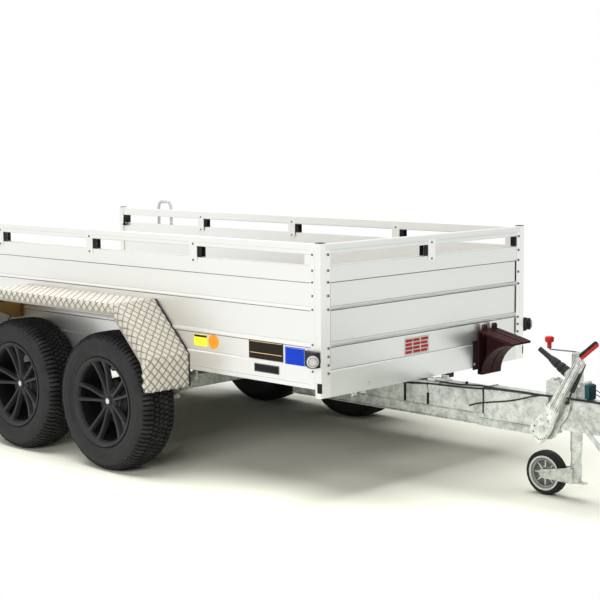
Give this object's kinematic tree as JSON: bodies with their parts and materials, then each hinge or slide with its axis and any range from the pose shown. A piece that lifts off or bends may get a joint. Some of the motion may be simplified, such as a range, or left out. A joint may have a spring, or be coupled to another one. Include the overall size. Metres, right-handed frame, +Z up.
{
  "type": "tandem drop-side trailer",
  "caption": "Low tandem-axle alloy trailer with an open load bed, top rails, hanging tailgate, plate fenders, wheel chocks, central drawbar, hand brake and jockey wheel.",
  "frame": {"origin": "on the ground under the middle of the whole trailer's outline, tailgate hanging open", "axes": "+X towards the coupling, +Y to the trailer's left, +Z up"},
  "size_m": [5.057, 2.247, 1.357],
  "materials": {
    "anodised_alloy": "anodised",
    "galvanised_steel": "hot-dip galvanised",
    "chequer_plate": "raised tread bars",
    "black_rubber": "matt",
    "tyre_rubber": "matt",
    "black_painted_metal": "satin",
    "maroon_plastic": "matt",
    "red_plastic": "gloss",
    "lamp_plastic": "clear, ribbed",
    "coated_plywood": "film faced"
  },
  "bodies": {
    "trailer": {"axle_front": "galvanised_steel", "axle_rear": "galvanised_steel", "chassis": "galvanised_steel", "chock_holder": "galvanised_steel", "chock_left": "maroon_plastic", "chock_right": "maroon_plastic", "coupling_handle": "black_painted_metal", "coupling_head": "galvanised_steel", "draw_tube_boot": "black_rubber", "drawbar_beam": "galvanised_steel", "fender_left": "chequer_plate", "fender_right": "chequer_plate", "floor": "coated_plywood", "hoop_left": "galvanised_steel", "hoop_right": "galvanised_steel", "jockey_crank": "galvanised_steel", "jockey_tube": "galvanised_steel", "lamp_front_left": "black_rubber", "lamp_front_right": "black_rubber", "lamp_rear_left": "lamp_plastic", "lamp_rear_right": "lamp_plastic", "light_cable": "black_rubber", "overrun_housing": "galvanised_steel", "parked_plug": "black_rubber", "post_front_left": "anodised_alloy", "post_front_right": "anodised_alloy", "post_rear_left": "anodised_alloy", "post_rear_right": "anodised_alloy", "rail_front": "anodised_alloy", "rail_left": "anodised_alloy", "rail_right": "anodised_alloy", "rear_beam": "anodised_alloy", "ribbed_unit": "black_rubber", "wall_front": "anodised_alloy", "wall_left": "anodised_alloy", "wall_right": "anodised_alloy"},
    "wheel_front_right": {"tyre_front_right": "tyre_rubber", "rim_front_right": "black_painted_metal"},
    "wheel_front_left": {"tyre_front_left": "tyre_rubber", "rim_front_left": "black_painted_metal"},
    "wheel_rear_right": {"tyre_rear_right": "tyre_rubber", "rim_rear_right": "black_painted_metal"},
    "wheel_rear_left": {"tyre_rear_left": "tyre_rubber", "rim_rear_left": "black_painted_metal"},
    "tailgate_body": {"tailgate": "anodised_alloy"},
    "hand_brake": {"brake_lever": "galvanised_steel", "brake_grip": "red_plastic"},
    "strut_cylinder_body": {"strut_cylinder": "black_painted_metal"},
    "strut_rod_body": {"strut_rod": "galvanised_steel"},
    "jockey_leg_body": {"jockey_leg": "galvanised_steel"},
    "jockey_fork_body": {"jockey_fork": "galvanised_steel"},
    "jockey_wheel": {"jockey_tyre": "tyre_rubber", "jockey_rim": "galvanised_steel"}
  },
  "joints": [
    {"name": "wheel_spin_front_right", "type": "hinge", "parent": "trailer", "child": "wheel_front_right", "pos_m": [-0.28825, -0.982, 0.3815], "axis": [0, 1, 0], "continuous": true},
    {"name": "wheel_spin_front_left", "type": "hinge", "parent": "trailer", "child": "wheel_front_left", "pos_m": [-0.28825, 0.982, 0.3815], "axis": [0, 1, 0], "continuous": true},
    {"name": "wheel_spin_rear_right", "type": "hinge", "parent": "trailer", "child": "wheel_rear_right", "pos_m": [-1.11125, -0.982, 0.3815], "axis": [0, 1, 0], "continuous": true},
    {"name": "wheel_spin_rear_left", "type": "hinge", "parent": "trailer", "child": "wheel_rear_left", "pos_m": [-1.11125, 0.982, 0.3815], "axis": [0, 1, 0], "continuous": true},
    {"name": "tailgate_hinge", "type": "hinge", "parent": "trailer", "child": "tailgate_body", "pos_m": [-2.48125, 0, 0.675], "axis": [0, 1, 0], "range_deg": [0, 180]},
    {"name": "brake_lever_hinge", "type": "hinge", "parent": "trailer", "child": "hand_brake", "pos_m": [1.90175, -0.1025, 0.392], "axis": [0, 1, 0], "range_deg": [0, 52]},
    {"name": "strut_turn", "type": "hinge", "parent": "hand_brake", "child": "strut_cylinder_body", "pos_m": [2.09975, -0.0735, 0.716], "axis": [0, 1, 0], "range_deg": [0, 34]},
    {"name": "strut_slide", "type": "slide", "parent": "strut_cylinder_body", "child": "strut_rod_body", "axis": [-0.4039, 0, -0.9148], "range_m": [0, 0.073]},
    {"name": "jockey_lift", "type": "slide", "parent": "trailer", "child": "jockey_leg_body", "axis": [0, 0, 1], "range_m": [-0.2, 0.06]},
    {"name": "jockey_swivel", "type": "hinge", "parent": "jockey_leg_body", "child": "jockey_fork_body", "pos_m": [1.94475, 0.125, 0.185], "axis": [0, 0, 1], "continuous": true},
    {"name": "jockey_spin", "type": "hinge", "parent": "jockey_fork_body", "child": "jockey_wheel", "pos_m": [1.77275, 0.125, 0.113], "axis": [0, 1, 0], "continuous": true}
  ],
  "couplings": [
    {"joint": "strut_turn", "follows": "brake_lever_hinge", "ratio": 0.65},
    {"joint": "strut_slide", "follows": "brake_lever_hinge", "m_per_rad": 0.08}
  ]
}
